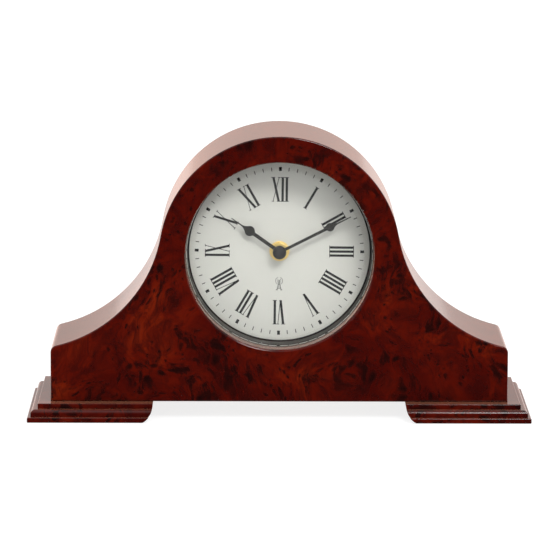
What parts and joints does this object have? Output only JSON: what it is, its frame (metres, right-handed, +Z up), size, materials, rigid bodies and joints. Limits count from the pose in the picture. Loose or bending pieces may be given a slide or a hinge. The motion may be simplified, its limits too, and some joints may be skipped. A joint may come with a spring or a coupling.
{
  "type": "mantel clock",
  "caption": "Mantel clock with a Napoleon hat case in gloss burl wood, white Roman dial, spade hands, domed glass, stepped feet and a hinged rear door.",
  "frame": {"origin": "middle of the clock's box, on the surface it stands on", "axes": "+X to the right seen from the front, -Y out of the dial towards the viewer, +Z up"},
  "size_m": [0.35, 0.1108, 0.1985],
  "materials": {
    "burl_veneer": "gloss lacquer over burl veneer",
    "plain_wood": "planed, bare",
    "back_board": "satin brown stain",
    "glass": "clear, polished",
    "satin_silver": "satin turned",
    "black_rubber": "matte",
    "dial_white": "satin white with black print",
    "hand_black": "satin black",
    "cap_black": "gloss",
    "brass": "polished",
    "zinc_steel": "zinc plated",
    "brassed_steel": "lacquered",
    "felt": "felt",
    "case_plastic": "moulded, fine grain",
    "plate_plastic": "moulded",
    "gear_plastic": "moulded acetal",
    "button_plastic": "moulded",
    "magnet": "ground ferrite",
    "copper": "enamelled wire",
    "laminate": "rolled",
    "board": "solder mask",
    "chip": "moulded epoxy",
    "can": "drawn can",
    "cell_jacket": null
  },
  "bodies": {
    "case": {"aa_battery": "cell_jacket", "aerial_coil": "copper", "back_frame": "plain_wood", "back_panel": "back_board", "back_screws": "brassed_steel", "base_board": "plain_wood", "board_screws": "zinc_steel", "bridge_screws": "zinc_steel", "button_switches": "chip", "case_shell": "burl_veneer", "catch_magnet": "magnet", "circuit_board": "board", "clamp_screws": "zinc_steel", "coil_bobbin": "plate_plastic", "coil_core": "laminate", "dial_clamps": "zinc_steel", "dial_gasket": "black_rubber", "dial_plate": "dial_white", "dial_washer": "brass", "felt_pads": "felt", "ferrite_rod": "magnet", "foot_screws": "zinc_steel", "front_panel": "burl_veneer", "glass_lens": "glass", "glass_seal": "black_rubber", "glue_blocks": "plain_wood", "hex_nut": "brass", "hinge_frame_leaves": "brassed_steel", "hinge_frame_screws": "brassed_steel", "hinge_pins": "brassed_steel", "left_foot": "burl_veneer", "motor_winding": "copper", "movement_cover": "case_plastic", "movement_housing": "case_plastic", "negative_contact": "can", "positive_contact": "can", "quartz_crystals": "can", "radio_chip": "chip", "right_foot": "burl_veneer", "rubber_washer": "black_rubber", "satin_ring": "satin_silver", "stator": "laminate", "train_bridge": "plate_plastic", "train_plate": "plate_plastic"},
    "door": {"rear_door": "back_board", "hinge_door_leaves": "brassed_steel", "hinge_door_screws": "brassed_steel", "door_knob": "brass", "catch_disc": "zinc_steel"},
    "minute": {"minute_arbor": "gear_plastic", "minute_hand": "hand_black", "cap_nut": "cap_black"},
    "hour": {"hour_wheel": "gear_plastic", "hour_hand": "hand_black"},
    "motion": {"motion_wheel": "gear_plastic"},
    "intermediate": {"intermediate_wheel": "gear_plastic"},
    "stepping_rotor": {"rotor": "magnet"},
    "set_key": {"set_button": "button_plastic"},
    "reset_key": {"reset_button": "button_plastic"}
  },
  "joints": [
    {"name": "minute_turn", "type": "hinge", "parent": "case", "child": "minute", "pos_m": [0, -0.0108, 0.1147], "axis": [0, 1, 0], "continuous": true},
    {"name": "hour_turn", "type": "hinge", "parent": "case", "child": "hour", "pos_m": [0, -0.0108, 0.1147], "axis": [0, 1, 0], "continuous": true},
    {"name": "motion_turn", "type": "hinge", "parent": "case", "child": "motion", "pos_m": [0.006, -0.0108, 0.10431], "axis": [0, 1, 0], "continuous": true},
    {"name": "intermediate_turn", "type": "hinge", "parent": "case", "child": "intermediate", "pos_m": [-0.0066, -0.0108, 0.12613], "axis": [0, 1, 0], "continuous": true},
    {"name": "rotor_turn", "type": "hinge", "parent": "case", "child": "stepping_rotor", "pos_m": [-0.015, -0.0108, 0.12613], "axis": [0, 1, 0], "continuous": true},
    {"name": "door_swing", "type": "hinge", "parent": "case", "child": "door", "pos_m": [0.05575, 0.0521, 0.1107], "axis": [0, 0, -1], "range_deg": [0, 120]},
    {"name": "set_press", "type": "slide", "parent": "case", "child": "set_key", "axis": [0, -1, 0], "range_m": [0, 0.0005], "stiffness_N_per_m": 400},
    {"name": "reset_press", "type": "slide", "parent": "case", "child": "reset_key", "axis": [0, -1, 0], "range_m": [0, 0.0005], "stiffness_N_per_m": 400}
  ],
  "couplings": [
    {"joint": "hour_turn", "follows": "minute_turn", "ratio": 0.083333},
    {"joint": "motion_turn", "follows": "minute_turn", "ratio": -0.33333},
    {"joint": "intermediate_turn", "follows": "minute_turn", "ratio": -10},
    {"joint": "rotor_turn", "follows": "minute_turn", "ratio": 60}
  ]
}
